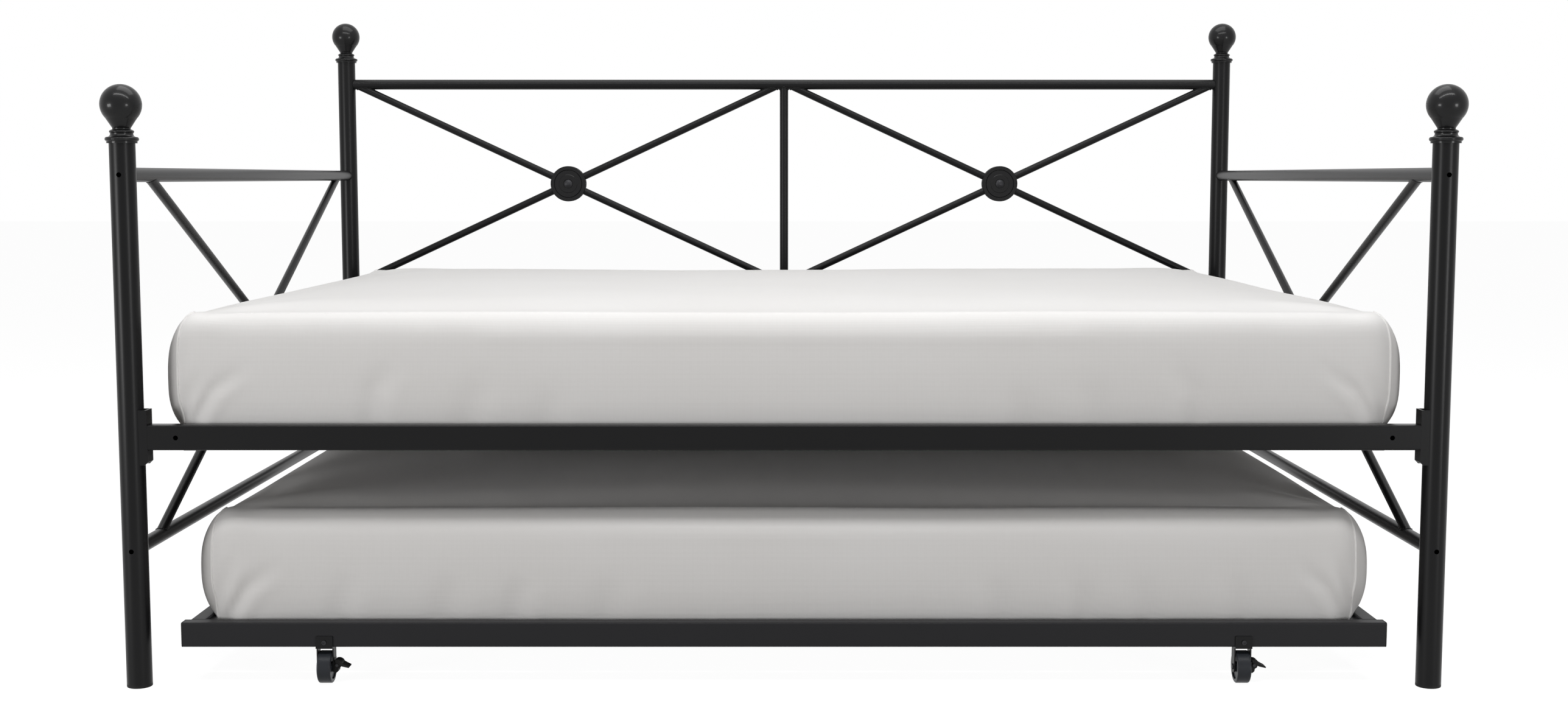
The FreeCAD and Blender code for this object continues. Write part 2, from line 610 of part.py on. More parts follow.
def slatted_deck(prefix, ledge_half, faces, bottom, centres):
    """Ledges, slats and rivets between two rails whose inner faces are at the two Y values."""
    front, back = faces
    low_y = front + LEDGE_PLATE + SLAT_END_GAP
    high_y = back - LEDGE_PLATE - SLAT_END_GAP
    slats, rivets, holes = [], [], []
    for x in centres:
        slat = box_tube(V(x - SLAT_WIDTH / 2, low_y, bottom),
                        V(x + SLAT_WIDTH / 2, high_y, bottom + SLAT_HEIGHT), Y, SLAT_CORNER, TUBE_WALL)
        for y in (front + RIVET_INSET, back - RIVET_INSET):
            hole = Part.makeCylinder(RIVET_SHANK_DIA / 2 + FIT, 2 * LEDGE_PLATE + TUBE_WALL,
                                     V(x, y, bottom - LEDGE_PLATE * 1.5))
            slat = slat.cut(hole)
            holes.append(hole)
            rivets.append(slat_rivet(x, y, bottom))
        slats.append(slat)
    ledges = [ledge(ledge_half, front, 1, bottom - LEDGE_PLATE),
              ledge(ledge_half, back, -1, bottom - LEDGE_PLATE)]
    save(f"{prefix}_ledges", *[strip.cut(Part.makeCompound(holes)) for strip in ledges])
    save(f"{prefix}_slats", *slats)
    save(f"{prefix}_slat_rivets", *rivets)


def end_bar(side):
    """Cross bar at the deck's end, hung on the ledges by a flat tab at each end."""
    half = BOX_DEPTH / 2
    x = side * END_BAR_X
    reach = POST_Y - END_BAR_NOTCH
    body = box_tube(V(x - half, -reach, DECK_TOP - END_BAR_HEIGHT), V(x + half, reach, DECK_TOP), Y)
    tab_end = POST_Y - BOX_DEPTH / 2 - LEDGE_PLATE - SLAT_END_GAP
    slip = half - BOX_WALL
    for end in (-1, 1):
        near, far = sorted((end * (reach - END_TAB_GRIP), end * tab_end))
        tab = block(V(x - slip, near, SLAT_BOTTOM), V(x + slip, far, SLAT_BOTTOM + END_TAB_HEIGHT))
        body = body.fuse(tab)
    hole = Part.makeCylinder(CENTRE_BOLT_DIA / 2 + FIT, 2 * BOX_DEPTH,
                             V(x - BOX_DEPTH, 0, CENTRE_RAIL_Z), X)
    return body.cut(hole)


def make_deck_support():
    """End bars, the rail under the slats' middle, its end plugs and its bolts."""
    rail_end = END_BAR_X - BOX_DEPTH / 2 - FIT
    half = CENTRE_RAIL_DEPTH / 2
    rail = box_tube(V(-rail_end, -half, SLAT_BOTTOM - CENTRE_RAIL_HEIGHT),
                    V(rail_end, half, SLAT_BOTTOM), X)
    slip = BOX_WALL + FIT
    plugs, bolts = [], []
    for name, side in SIDES:
        save(f"deck_end_bar_{name}", end_bar(side))
        near, far = sorted((side * rail_end, side * (rail_end - CENTRE_PLUG_LENGTH)))
        plug = bar(V(near, slip - half, SLAT_BOTTOM - CENTRE_RAIL_HEIGHT + slip),
                   V(far, half - slip, SLAT_BOTTOM - slip), X, BOX_CORNER - BOX_WALL)
        bore = Part.makeCylinder(CENTRE_BOLT_DIA / 2 + RUNNING, 2 * CENTRE_PLUG_LENGTH,
                                 V(side * rail_end, 0, CENTRE_RAIL_Z) - X * CENTRE_PLUG_LENGTH, X)
        plugs.append(plug.cut(bore))
        seat = V(side * (END_BAR_X + BOX_DEPTH / 2), 0, CENTRE_RAIL_Z)
        length = BOX_DEPTH + CENTRE_PLUG_LENGTH - CENTRE_BOLT_SPARE
        bolts.append(cap_bolt(seat, X * -side, length, CENTRE_BOLT_DIA, CENTRE_HEAD_DIA,
                              CENTRE_HEAD_LENGTH))
    save("deck_centre_rail", rail)
    save("centre_rail_plugs", *plugs)
    save("centre_rail_bolts", *bolts)


def make_deck():
    face = POST_Y - BOX_DEPTH / 2
    slatted_deck("deck", SIDE_RAIL_END - LEDGE_INSET, (-face, face), SLAT_BOTTOM,
                 slat_centres(DECK_SLATS, END_BAR_X))


# ---- Mattresses ----------------------------------------------------------------------------------
def pillow_outline(half, height, bottom_round, top_round):
    """Rounded upright outline of a mattress, from -half to half, standing on Z = 0."""
    def bend(centre_x, centre_z, radius, degrees):
        angle = math.radians(degrees)
        return (centre_x + radius * math.cos(angle), centre_z + radius * math.sin(angle))
    low, high, top_z = half - bottom_round, half - top_round, height - top_round
    return profile(
        (-low, 0), (low, 0), (bend(low, bottom_round, bottom_round, -45), (half, bottom_round)),
        (half, top_z), (bend(high, top_z, top_round, 45), (high, height)),
        (-high, height), (bend(-high, top_z, top_round, 135), (-half, top_z)),
        (-half, bottom_round), (bend(-low, bottom_round, bottom_round, 225), (-low, 0)))


def mattress(half_length, front, back, bottom, thickness, bottom_round):
    """Rounded block: the part common to a long outline, a cross outline and a plan outline."""
    depth = back - front
    lengthwise = pillow_outline(half_length, thickness, bottom_round, TOP_ROUND).extrude(Y * depth)
    crosswise = rotated(pillow_outline(depth / 2, thickness, bottom_round, TOP_ROUND), Z, 90)
    crosswise = moved(crosswise.extrude(X * 2 * half_length), V(-half_length, depth / 2, 0))
    plan = bar(V(-half_length, 0, 0), V(half_length, depth, thickness), Z, PLAN_ROUND)
    return moved(lengthwise.common(crosswise).common(plan), V(0, front, bottom))


def make_mattress():
    face = POST_Y - BOX_DEPTH / 2
    half = POST_X - RAIL_DIA / 2 - MATTRESS_END_GAP
    save("mattress", mattress(half, MATTRESS_FRONT_GAP - face, face - MATTRESS_BACK_GAP, DECK_TOP,
                              MATTRESS_THICKNESS, BOTTOM_ROUND))


def make_trundle_mattress():
    half = TRUNDLE_END - TRUNDLE_END_INSET - BOX_DEPTH + TRUNDLE_MATTRESS_OVERHANG
    front = TRUNDLE_FRONT + BOX_DEPTH + TRUNDLE_MATTRESS_GAP
    back = TRUNDLE_BACK - BOX_DEPTH - TRUNDLE_MATTRESS_GAP
    save("trundle_mattress", mattress(half, front, back, TRUNDLE_DECK_TOP,
                                      TRUNDLE_MATTRESS_THICKNESS, TRUNDLE_BOTTOM_ROUND))


# ---- Trundle frame -------------------------------------------------------------------------------
def caster_places():
    """(end name, side name, point on the floor under the wheel, way the front tab faces)."""
    places = []
    for end_name, y, facing in (("front", CASTER_FRONT_Y, -1), ("back", CASTER_BACK_Y, 1)):
        for side_name, side in SIDES:
            places.append((end_name, side_name, V(side * CASTER_X, y, 0), facing))
    return places


def make_trundle_rails():
    top = TRUNDLE_BOTTOM_Z + BOX_HEIGHT
    tube_end = TRUNDLE_END - END_CAP_FLANGE
    screw_z = TRUNDLE_BOTTOM_Z + CASTER_SCREW_RISE
    slip = BOX_WALL + FIT
    caps = []
    for name, near in (("front", TRUNDLE_FRONT), ("back", TRUNDLE_BACK - BOX_DEPTH)):
        rail = box_tube(V(-tube_end, near, TRUNDLE_BOTTOM_Z), V(tube_end, near + BOX_DEPTH, top), X)
        for end_name, _, place, facing in caster_places():
            if end_name == name:
                centre = V(place.x, place.y, screw_z)
                hole = Part.makeCylinder(CASTER_SCREW_DIA / 2 + FIT, BOX_DEPTH, centre, Y * facing)
                rail = rail.cut(hole)
        save(f"trundle_rail_{name}", rail)
        for _, side in SIDES:
            caps.append(end_cap(side, tube_end, near, top, slip))
    for name, side in SIDES:
        outer = side * (TRUNDLE_END - TRUNDLE_END_INSET)
        near, far = sorted((outer, outer - side * BOX_DEPTH))
        save(f"trundle_end_rail_{name}",
             box_tube(V(near, TRUNDLE_FRONT + BOX_DEPTH, TRUNDLE_BOTTOM_Z),
                      V(far, TRUNDLE_BACK - BOX_DEPTH, top), Y))
    save("trundle_end_caps", *caps)


def end_cap(side, tube_end, near, top, slip):
    """Plastic cap on a long rail's end: a flange over the tube and a plug inside it."""
    low, high = sorted((side * tube_end, side * TRUNDLE_END))
    flange = bar(V(low, near, TRUNDLE_BOTTOM_Z), V(high, near + BOX_DEPTH, top), X, BOX_CORNER)
    low, high = sorted((side * tube_end, side * (tube_end - END_CAP_PLUG)))
    plug = bar(V(low, near + slip, TRUNDLE_BOTTOM_Z + slip),
               V(high, near + BOX_DEPTH - slip, top - slip), X, BOX_CORNER - BOX_WALL)
    return flange.fuse(plug)


def make_trundle_deck():
    end_face = TRUNDLE_END - TRUNDLE_END_INSET - BOX_DEPTH
    slatted_deck("trundle", end_face - FIT, (TRUNDLE_FRONT + BOX_DEPTH, TRUNDLE_BACK - BOX_DEPTH),
                 TRUNDLE_SLAT_BOTTOM, slat_centres(TRUNDLE_SLATS, end_face + BOX_DEPTH / 2))


# ---- Casters -------------------------------------------------------------------------------------
def caster_bracket():
    """Pressed bracket about the wheel's contact point, front tab towards -Y."""
    rail_half = BOX_DEPTH / 2
    front = -rail_half - CASTER_PLATE
    plate_bottom = TRUNDLE_BOTTOM_Z - CASTER_PLATE
    tab = bar(V(-EAR_OUTER, front, plate_bottom),
              V(EAR_OUTER, -rail_half, TRUNDLE_BOTTOM_Z + CASTER_TAB_HEIGHT), Y, CASTER_TAB_CORNER)
    seat = block(V(-EAR_OUTER, front, plate_bottom), V(EAR_OUTER, rail_half, TRUNDLE_BOTTOM_Z))
    bracket = tab.fuse(seat)
    for low, high in ((-EAR_OUTER, -EAR_INNER), (EAR_INNER, EAR_OUTER)):
        ear = block(V(low, -CASTER_EAR_R, WHEEL_R), V(high, CASTER_EAR_R, TRUNDLE_BOTTOM_Z))
        round_end = Part.makeCylinder(CASTER_EAR_R, CASTER_PLATE, V(low, 0, WHEEL_R), X)
        bracket = bracket.fuse(ear.fuse(round_end))
    axle_hole = Part.makeCylinder(AXLE_DIA / 2 + FIT, 4 * EAR_OUTER, V(-2 * EAR_OUTER, 0, WHEEL_R), X)
    screw_hole = Part.makeCylinder(CASTER_SCREW_DIA / 2 + FIT, BOX_DEPTH,
                                   V(0, 0, TRUNDLE_BOTTOM_Z + CASTER_SCREW_RISE), -Y)
    return bracket.cut(axle_hole).cut(screw_hole)


def caster_axle():
    """Riveted axle through both ears, with a low head at each end."""
    reach = EAR_OUTER + FIT
    axle = Part.makeCylinder(AXLE_DIA / 2, 2 * reach, V(-reach, 0, WHEEL_R), X)
    for start in (-reach - AXLE_HEAD_LENGTH, reach):
        axle = axle.fuse(Part.makeCylinder(AXLE_HEAD_DIA / 2, AXLE_HEAD_LENGTH, V(start, 0, WHEEL_R), X))
    return axle


def caster_screw():
    """Pan-head screw through the front tab into the rail."""
    head_seat = V(0, -BOX_DEPTH / 2 - CASTER_PLATE, TRUNDLE_BOTTOM_Z + CASTER_SCREW_RISE)
    return cap_bolt(head_seat, Y, CASTER_SCREW_LENGTH, CASTER_SCREW_DIA, CASTER_SCREW_HEAD_DIA,
                    CASTER_SCREW_HEAD)


def wheel():
    """Moulded wheel about X: rounded tread, recessed sides and a hub as wide as the tread."""
    half = WHEEL_WIDTH / 2
    bore = AXLE_DIA / 2 + RUNNING
    rim = WHEEL_R - WHEEL_RIM
    edge = WHEEL_EDGE * ROUND_MIDDLE
    web = half - WHEEL_RECESS
    lower = ((WHEEL_R - edge, edge - half), (WHEEL_R, WHEEL_EDGE - half))
    upper = ((WHEEL_R - edge, half - edge), (WHEEL_R - WHEEL_EDGE, half))
    body = turned((bore, -half), (WHEEL_HUB_R, -half), (WHEEL_HUB_R, -web), (rim, -web), (rim, -half),
                  (WHEEL_R - WHEEL_EDGE, -half), lower, (WHEEL_R, half - WHEEL_EDGE), upper,
                  (rim, half), (rim, web), (WHEEL_HUB_R, web), (WHEEL_HUB_R, half), (bore, half))
    return moved(rotated(body, Y, 90), Z * WHEEL_R)


def make_casters():
    brackets, axles, screws = [], [], []
    for end_name, side_name, place, facing in caster_places():
        turn = 0 if facing < 0 else 180
        brackets.append(moved(rotated(caster_bracket(), Z, turn), place))
        screws.append(moved(rotated(caster_screw(), Z, turn), place))
        axles.append(moved(caster_axle(), place))
        save(f"wheel_{end_name}_{side_name}", moved(wheel(), place))
    save("caster_brackets", *brackets)
    save("caster_axles", *axles)
    save("caster_screws", *screws)


# ---- Brake levers --------------------------------------------------------------------------------
def brake_pivot():
    return (EAR_OUTER + BRAKE_PIVOT_OUT, WHEEL_R + BRAKE_PIVOT_RISE)


def brake_block():
    """Plastic block on the outer ear that carries the lever's pin; hollow over the axle's head."""
    px, pz = brake_pivot()
    half = BRAKE_BLOCK_DEPTH / 2
    inner = EAR_OUTER + FIT
    foot = WHEEL_R - BRAKE_BLOCK_FOOT
    low, high = BRAKE_SIDE
    face = profile((inner, foot + BRAKE_FOOT_SLOPE), (inner + BRAKE_FOOT_FLAT, foot),
                   (px + low, foot + BRAKE_FOOT_SLOPE), (px + high, pz - BRAKE_SHOULDER),
                   (px, pz), (inner, pz))
    body = face.extrude(Y * BRAKE_BLOCK_DEPTH)
    crown = Part.makeCylinder(BRAKE_BLOCK_R, BRAKE_BLOCK_DEPTH, V(px, 0, pz), Y)
    crown = crown.cut(block(V(px - 2 * BRAKE_BLOCK_R, 0, pz - 2 * BRAKE_BLOCK_R),
                            V(inner, BRAKE_BLOCK_DEPTH, pz + 2 * BRAKE_BLOCK_R)))
    body = moved(body.fuse(crown), Y * -half)
    pocket_depth = AXLE_HEAD_LENGTH + 2 * FIT
    pocket = Part.makeCylinder(AXLE_HEAD_DIA / 2 + FIT, pocket_depth, V(inner, 0, WHEEL_R), X)
    bore = Part.makeCylinder(BRAKE_PIN_DIA / 2 + FIT, BRAKE_BLOCK_DEPTH, V(px, -half, pz), Y)
    return body.cut(pocket).cut(bore)


def lever_half_depth():
    return BRAKE_BLOCK_DEPTH / 2 + SWING / 2 + LEVER_PLATE


def brake_lever():
    """Foot lever: a curved shell round the block, two cheeks on the pin and a flat tab."""
    px, pz = brake_pivot()
    inner = BRAKE_BLOCK_R + SWING
    outer = inner + LEVER_PLATE
    half = lever_half_depth()

    def point(radius, degrees):
        angle = math.radians(degrees)
        return (px + radius * math.cos(angle), pz + radius * math.sin(angle))

    middle = LEVER_START / 2
    shell = profile(point(inner, LEVER_START), (point(inner, middle), point(inner, 0)),
                    point(outer, 0), (point(outer, middle), point(outer, LEVER_START)))
    tip = (px + LEVER_REACH, pz - LEVER_DROP)
    high, low = LEVER_ROOT
    tab = profile(point(inner + LEVER_LAP, 0), point(outer, high), tip,
                  (tip[0] - LEVER_TIP[0], tip[1] - LEVER_TIP[1]), point(inner + LEVER_LAP, low))
    lever = shell.extrude(Y * 2 * half).fuse(tab.extrude(Y * 2 * half))
    fan = profile(point(0, 0), point(outer, 0), (point(outer, middle), point(outer, LEVER_START)))
    hub = Part.makeCylinder(BRAKE_PIN_DIA / 2 + LEVER_HUB_WALL, LEVER_PLATE, V(px, 0, pz), Y)
    cheek = fan.extrude(Y * LEVER_PLATE).fuse(hub)
    lever = lever.fuse(cheek).fuse(moved(cheek, Y * (2 * half - LEVER_PLATE)))
    bore = Part.makeCylinder(BRAKE_PIN_DIA / 2 + RUNNING, 4 * half, V(px, -half, pz), Y)
    return moved(lever.cut(bore), Y * -half)


def brake_pin():
    px, pz = brake_pivot()
    half = lever_half_depth() + FIT
    pin = Part.makeCylinder(BRAKE_PIN_DIA / 2, 2 * half, V(px, -half, pz), Y)
    for start in (-half - BRAKE_PIN_HEAD_LENGTH, half):
        head = Part.makeCylinder(BRAKE_PIN_HEAD_DIA / 2, BRAKE_PIN_HEAD_LENGTH, V(px, start, pz), Y)
        pin = pin.fuse(head)
    return pin


def make_brakes():
    blocks, pins = [], []
    for end_name, side_name, place, _ in caster_places():
        if end_name == "front":
            blocks.append(moved(brake_block(), place))
            pins.append(moved(brake_pin(), place))
            save(f"brake_lever_{side_name}", moved(brake_lever(), place))
    save("brake_blocks", *blocks)
    save("brake_pins", *pins)


def main():
    os.makedirs("parts", exist_ok=True)
    make_posts()
    make_feet_and_finials()
    make_bolted_joints()
    make_end_frames()
    make_back_rails()
    make_back_panels()
    make_side_rails()
    make_rail_brackets()
    make_deck()
    make_deck_support()
    make_mattress()
    make_trundle_rails()
    make_trundle_deck()
    make_trundle_mattress()
    make_casters()
    make_brakes()


main()
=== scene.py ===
# %% [markdown]
# # A metal daybed with a pull-out trundle
# The engineering model of this bed is already exact: every tube, bolt and wheel is where it
# belongs. This lesson dresses that model. It gives each piece the finish it has on the real bed,
# sews the two mattresses, and sets up a plain studio. Lengths are in metres, as Blender works, and
# small sizes are written in millimetres times MM.

# %% Load the frame
import json
import math
import random

import bmesh
import bpy
import numpy as np
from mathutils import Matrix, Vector, noise
from mathutils.bvhtree import BVHTree


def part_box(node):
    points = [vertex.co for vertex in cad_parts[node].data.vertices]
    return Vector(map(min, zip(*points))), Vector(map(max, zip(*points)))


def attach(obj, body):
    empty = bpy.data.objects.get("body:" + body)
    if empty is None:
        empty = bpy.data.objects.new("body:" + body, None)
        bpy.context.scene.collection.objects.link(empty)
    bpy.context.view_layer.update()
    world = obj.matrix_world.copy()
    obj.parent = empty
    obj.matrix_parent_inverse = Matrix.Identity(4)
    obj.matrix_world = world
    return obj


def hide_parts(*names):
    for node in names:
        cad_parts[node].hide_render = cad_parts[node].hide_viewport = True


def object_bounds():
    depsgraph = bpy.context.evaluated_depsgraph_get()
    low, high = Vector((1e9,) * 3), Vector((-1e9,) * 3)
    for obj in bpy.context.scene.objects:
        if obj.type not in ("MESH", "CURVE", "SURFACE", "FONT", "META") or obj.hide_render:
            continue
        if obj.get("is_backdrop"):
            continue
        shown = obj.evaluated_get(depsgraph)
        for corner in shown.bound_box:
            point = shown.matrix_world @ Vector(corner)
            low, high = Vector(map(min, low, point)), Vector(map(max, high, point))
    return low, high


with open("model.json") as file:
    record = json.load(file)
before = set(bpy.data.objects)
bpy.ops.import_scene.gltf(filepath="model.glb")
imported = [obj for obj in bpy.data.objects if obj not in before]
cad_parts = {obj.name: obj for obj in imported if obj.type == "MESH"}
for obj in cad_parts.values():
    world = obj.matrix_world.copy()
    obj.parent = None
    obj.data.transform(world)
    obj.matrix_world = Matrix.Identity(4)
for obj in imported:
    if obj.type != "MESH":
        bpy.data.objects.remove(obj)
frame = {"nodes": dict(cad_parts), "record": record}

MM = 0.001
FULL_TURN = 2 * math.pi
scene = bpy.context.scene
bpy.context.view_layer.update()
print("pieces in the frame:", len(frame["nodes"]))

# %% [markdown]
# ## Small helpers
# Colours are easiest to write as the hex values a paint chart gives, but a renderer works with
# linear light, so one function turns the one into the other. A material is a little tree of nodes,
# and a second function adds a node with its settings and whatever feeds it. A third starts a
# material and hands back its shader. The last two hold what most finishes share: a faint mottle of
# two near colours, and a fine grain. A plain colour would be simpler, but no real coat is so even.

# %% Colour, node and material helpers
def linear(hex_colour):
    """Linear RGBA of an sRGB hex colour."""
    channels = [int(hex_colour[i:i + 2], 16) / 255 for i in (1, 3, 5)]
    return [c / 12.92 if c <= 0.04045 else ((c + 0.055) / 1.055) ** 2.4 for c in channels] + [1.0]


def add(tree, kind, inputs=None, **settings):
    """Add a node. Inputs are values or other nodes' outputs, by the socket's name or number."""
    made = tree.nodes.new(kind)
    for name, value in settings.items():
        setattr(made, name, value)
    for name, value in (inputs or {}).items():
        if isinstance(value, bpy.types.NodeSocket):
            tree.links.new(value, made.inputs[name])
        else:
            made.inputs[name].default_value = value
    return made


def start_material(name, **values):
    """A new material with one Principled shader. Underscores in a value's name stand for spaces."""
    material = bpy.data.materials.new(name)
    material.use_nodes = True
    tree = material.node_tree
    shader = tree.nodes["Principled BSDF"]
    for socket, value in values.items():
        shader.inputs[socket.replace("_", " ")].default_value = value
    return material, tree, shader


def mottle(tree, where, size, low, high):
    """Two near colours mixed by a soft noise whose blotches are about the given size."""
    cloud = add(tree, "ShaderNodeTexNoise", {"Vector": where, "Scale": 1 / size, "Detail": 3.0})
    # A Mix node set to colours takes them at its inputs 6 and 7, and gives the mix at output 2.
    mixed = add(tree, "ShaderNodeMix",
                {"Factor": cloud.outputs["Fac"], 6: linear(low), 7: linear(high)},
                data_type="RGBA")
    return mixed.outputs[2]


def roughen(tree, shader, where, size, height):
    """Fine bumps of the given spacing and height, on top of the modelled shape."""
    grain = add(tree, "ShaderNodeTexNoise", {"Vector": where, "Scale": 1 / size, "Detail": 2.0})
    bump = add(tree, "ShaderNodeBump", {"Height": grain.outputs["Fac"], "Distance": height})
    tree.links.new(bump.outputs["Normal"], shader.inputs["Normal"])


# %% [markdown]
# ## Powder-coated steel tube
# The posts, rails and braces are steel tube sprayed with dry black powder and baked. The melted
# powder leaves orange peel: ripples a millimetre or two across and a few hundredths high. The eye
# reads it as a satin line of light along each tube that never turns into a sharp mirror. It could
# be a plain black plastic, but the ripple is what says powder. The ripple is drawn 4 mm across,
# about twice as coarse as it is, so that it still shows from across a room.

# %% Powder coats
ORANGE_PEEL = 4 * MM
PEEL_HEIGHT = 0.012 * MM


def powder_coat(name, low, high, roughness):
    material, tree, shader = start_material(name, Roughness=roughness, IOR=1.38,
                                            Specular_IOR_Level=0.25)
    where = add(tree, "ShaderNodeTexCoord").outputs["Object"]
    tree.links.new(mottle(tree, where, 90 * MM, low, high), shader.inputs["Base Color"])
    roughen(tree, shader, where, ORANGE_PEEL, PEEL_HEIGHT)
    return material


frame_steel = powder_coat("powder_coated_steel", "#101011", "#141415", 0.32)
trundle_steel = powder_coat("powder_coated_trundle_steel", "#212123", "#252527", 0.42)
caster_steel = powder_coat("powder_coated_pressed_steel", "#0e0e0f", "#121213", 0.40)
print("powder coats made: 3")

# %% [markdown]
# ## Enamelled castings
# The ball finials and the two medallions are zinc castings under a thicker, glossier black enamel.
# The thick coat smooths the casting out, so the ripple is longer and lower, and the highlights are
# small and clear. A clear coat layer over a slightly rougher black gives that two-depth shine.

# %% Cast enamel
cast_enamel, tree, shader = start_material("enamelled_zinc_casting", Roughness=0.34, IOR=1.45,
                                           Specular_IOR_Level=0.12, Coat_Weight=0.25,
                                           Coat_Roughness=0.13)
where = add(tree, "ShaderNodeTexCoord").outputs["Object"]
tree.links.new(mottle(tree, where, 30 * MM, "#101011", "#141415"), shader.inputs["Base Color"])
roughen(tree, shader, where, 7 * MM, 0.01 * MM)
print("made", cast_enamel.name)

# %% [markdown]
# ## Blackened fasteners
# Bolts, rivets, pins and axles are steel blackened in a hot salt bath. It is a real metal surface,
# so it is fully metallic with a dark tint, and its fine turning marks scatter the light a little.

# %% Blackened steel
blackened_steel, tree, shader = start_material("blackened_steel", Metallic=1.0, Roughness=0.42)
where = add(tree, "ShaderNodeTexCoord").outputs["Object"]
tree.links.new(mottle(tree, where, 5 * MM, "#2c2c2e", "#38383a"), shader.inputs["Base Color"])
roughen(tree, shader, where, 0.6 * MM, 0.01 * MM)
print("made", blackened_steel.name)

# %% [markdown]
# ## Moulded plastics
# The feet, end caps and brake levers are moulded nylon with a spark-eroded grain of about a third
# of a millimetre, drawn at 1 mm so that it shows up close. The wheels are a harder polypropylene
# whose tread has been polished by rolling, and it has a faint blue-grey cast. One function makes
# both, because only the numbers differ.

# %% Plastics
def moulded(name, low, high, roughness, grain, height):
    material, tree, shader = start_material(name, Roughness=roughness, IOR=1.46,
                                            Specular_IOR_Level=0.2)
    where = add(tree, "ShaderNodeTexCoord").outputs["Object"]
    tree.links.new(mottle(tree, where, 12 * MM, low, high), shader.inputs["Base Color"])
    roughen(tree, shader, where, grain, height)
    return material


black_plastic = moulded("moulded_nylon", "#141414", "#191919", 0.55, 1 * MM, 0.03 * MM)
wheel_plastic = moulded("moulded_polypropylene", "#2a2c30", "#303338", 0.36, 2 * MM, 0.01 * MM)
print("plastics made: 2")

# %% [markdown]
# ## Cotton percale
# Both mattresses wear a fitted sheet of cotton percale, a plain weave of about four threads to the
# millimetre. That is far too fine to see from across a room. What shows is a dull, slightly fuzzy
# white, so there is a little sheen, and faint lines across the cloth where some threads are
# thicker. The weave is drawn with threads 2 mm apart, eight times too coarse, and the thick threads
# lie about 9 mm apart.

# %% Percale
THREAD = 2 * MM
SLUB = 9 * MM
WAVE_REPEAT = 20 / FULL_TURN          # Blender's wave texture repeats every 2 pi / 20 at scale 1

percale, tree, shader = start_material("cotton_percale", Roughness=0.92, IOR=1.45,
                                       Sheen_Weight=0.25, Sheen_Roughness=0.5)
where = add(tree, "ShaderNodeTexCoord").outputs["Object"]
tree.links.new(mottle(tree, where, 260 * MM, "#eceae8", "#f2f1f0"), shader.inputs["Base Color"])
height = None
for direction in "XYZ":
    thread = add(tree, "ShaderNodeTexWave",
                 {"Vector": where, "Scale": 1 / THREAD / WAVE_REPEAT, "Distortion": 0.4},
                 bands_direction=direction)
    height = thread.outputs["Fac"] if height is None else add(
        tree, "ShaderNodeMath", {0: height, 1: thread.outputs["Fac"]}, operation="ADD").outputs[0]
slub = add(tree, "ShaderNodeTexWave",
           {"Vector": where, "Scale": 1 / SLUB / WAVE_REPEAT, "Distortion": 2.5, "Detail": 2.0,
            "Detail Scale": 0.6}, bands_direction="Z")
both = add(tree, "ShaderNodeMath", {0: height, 1: slub.outputs["Fac"]}, operation="ADD")
weave = add(tree, "ShaderNodeBump", {"Height": both.outputs[0], "Distance": 0.03 * MM})
tree.links.new(weave.outputs["Normal"], shader.inputs["Normal"])
print("made", percale.name)

# %% [markdown]
# ## Dress the frame
# Every piece of the frame has a slot in its record that says what it is finished in. Looking the
# slot up keeps the dressing in step with the model: a new bolt is black without a line added here.

# %% Give every piece its finish
FINISHES = {"frame_steel": frame_steel, "cast_enamel": cast_enamel, "trundle_steel": trundle_steel,
            "caster_steel": caster_steel, "blackened_steel": blackened_steel,
            "black_plastic": black_plastic, "wheel_plastic": wheel_plastic,
            "mattress_cover": percale}
for part in frame["record"]["subparts"]:
    mesh = frame["nodes"][part["node"]].data
    mesh.materials.clear()
    mesh.materials.append(FINISHES[part["material_slot"]])

# %% [markdown]
# ## The mattress form
# A mattress is a block whose edges are all rounded, each by its own amount: the plan corners, the
# long top edges, the softer top edges at the ends and the full lower edges. A bevelled cube rounds
# every edge alike, so the form starts as a box covered in an even grid of cells, and each point
# near an edge is bent onto a quarter ellipse. An even grid is also what a cloth simulation wants.

# %% A box covered in an even grid
def grid_box(half, cell):
    """Points and faces of a box about the origin, covered in cells of about one size."""
    counts = [max(2, round(2 * h / cell)) for h in half]
    index, points, faces = {}, [], []

    def corner(key):
        if key not in index:
            index[key] = len(points)
            points.append([half[k] * (2 * key[k] / counts[k] - 1) for k in range(3)])
        return index[key]

    for axis in range(3):
        u, v = (axis + 1) % 3, (axis + 2) % 3
        for side in (0, counts[axis]):
            for i in range(counts[u]):
                for j in range(counts[v]):
                    loop = []
                    for du, dv in ((0, 0), (1, 0), (1, 1), (0, 1)):
                        key = [0, 0, 0]
                        key[axis], key[u], key[v] = side, i + du, j + dv
                        loop.append(corner(tuple(key)))
                    faces.append(loop if side else loop[::-1])
    return points, faces


# %% Bend its points onto rounded edges
PLAN_CORNER = 58 * MM
FRONT_EDGE = (15 * MM, 17 * MM)       # top edge along the front and back: across, down
END_EDGE = (56 * MM, 90 * MM)         # top edge at the two ends
TUCKED = 9 * MM                       # how far the lower edge turns in along the front and back
QUARTER = FULL_TURN / 4


def edge_bend(across, down, inset, drop):
    """Where a point near the edge of a block lies once the edge is a quarter ellipse."""
    if inset > across or drop > down:
        return inset, drop
    turn = QUARTER / 2 * (1 - drop / down) if drop > 0 else QUARTER / 2 * (1 + inset / across)
    return across * (1 - math.cos(turn)), down * (1 - math.sin(turn))


